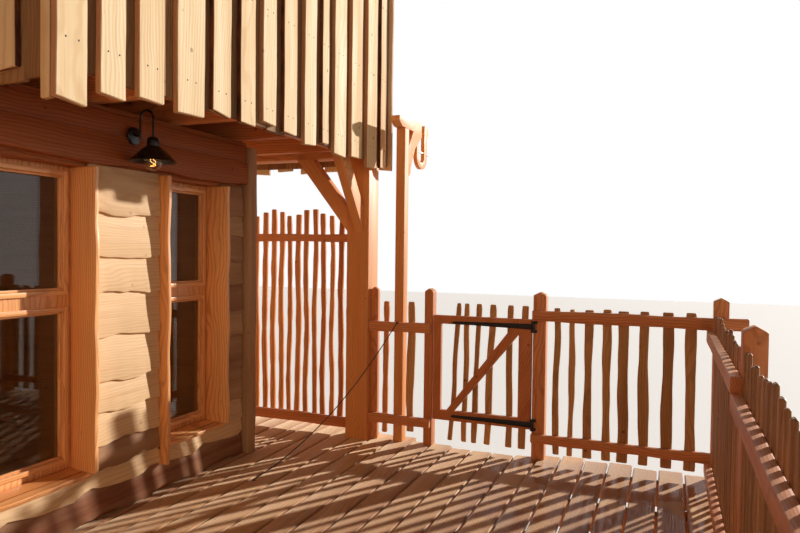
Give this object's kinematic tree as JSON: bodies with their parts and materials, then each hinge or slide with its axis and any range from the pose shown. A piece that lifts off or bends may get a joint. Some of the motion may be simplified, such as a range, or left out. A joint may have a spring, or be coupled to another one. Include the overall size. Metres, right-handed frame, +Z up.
{
  "type": "tree house",
  "caption": "Timber tree house on stilts: gabled cabin with overhanging upper storey, waney boards, windows, lamp, terrace with stick railings and gate, lattice and rope hoist.",
  "frame": {"origin": "centre of the plan's bounding box, on the ground under the stilts", "axes": "+Z up, +X from the cabin to the terrace's open edge, +Y along the cabin to the end with the gate and hoist"},
  "size_m": [6.949, 6.515, 8.8942],
  "materials": {
    "post_timber": "planed larch, oiled",
    "frame_timber": "sawn larch",
    "deck_boards": "weathered larch boards, damp",
    "floor_boards": "planed boards",
    "wall_core": "plank lining",
    "wall_boards": "waney-edged boards, oiled",
    "window_timber": "planed and varnished",
    "window_glass": "clear panes",
    "lamp_metal": "black enamel",
    "bulb_glass": "clear bulb",
    "upper_cladding": "rough waney boards",
    "roof_boards": "lapped roof boards, weathered",
    "rail_timber": "debarked sticks and sawn rails, oiled",
    "gate_iron": "forged, black",
    "hoist_timber": "planed and oiled",
    "bolt_steel": "galvanised",
    "rope": "braided cord, black"
  },
  "bodies": {
    "house": {"stilts": "post_timber", "stilt_braces": "post_timber", "main_beams": "frame_timber", "floor_joists": "frame_timber", "edge_joist": "frame_timber", "terrace_boards": "deck_boards", "gallery_boards": "deck_boards", "cabin_floor": "floor_boards", "terrace_wall": "wall_core", "far_wall": "wall_core", "near_wall": "wall_core", "back_wall": "wall_core", "corner_boards": "post_timber", "terrace_header": "wall_boards", "terrace_siding": "wall_boards", "outer_siding": "wall_boards", "window_jambs": "window_timber", "window_sills": "window_timber", "window_frames": "window_timber", "window_glass": "window_glass", "entry_door": "window_timber", "wall_lamp": "lamp_metal", "lamp_bulb": "bulb_glass", "heavy_posts": "post_timber", "knee_braces": "post_timber", "cross_beam": "frame_timber", "edge_beam": "frame_timber", "upper_joists": "frame_timber", "upper_floor": "floor_boards", "upper_side_walls": "wall_core", "gable_walls": "wall_core", "side_cladding": "upper_cladding", "gable_cladding": "upper_cladding", "gable_windows": "window_timber", "roof_rafters": "frame_timber", "roof_covering": "roof_boards", "ridge_cap": "roof_boards", "gallery_lattice": "rail_timber", "railing_posts": "rail_timber", "short_fence": "rail_timber", "back_railing": "rail_timber", "right_railing": "rail_timber", "near_railing": "rail_timber", "gate_pintles": "gate_iron", "hoist_post": "hoist_timber", "hoist_arm": "hoist_timber", "hoist_block": "hoist_timber", "hoist_bolt": "bolt_steel", "hoist_rope": "rope", "rope_knots": "rope"},
    "gate": {"gate_frame": "rail_timber", "gate_pales": "rail_timber", "gate_straps": "gate_iron"}
  },
  "joints": [
    {"name": "gate_hinge", "type": "hinge", "parent": "house", "child": "gate", "pos_m": [2.0925, 2.5605, 3.2], "axis": [0, 0, 1], "range_deg": [0, 90]}
  ]
}
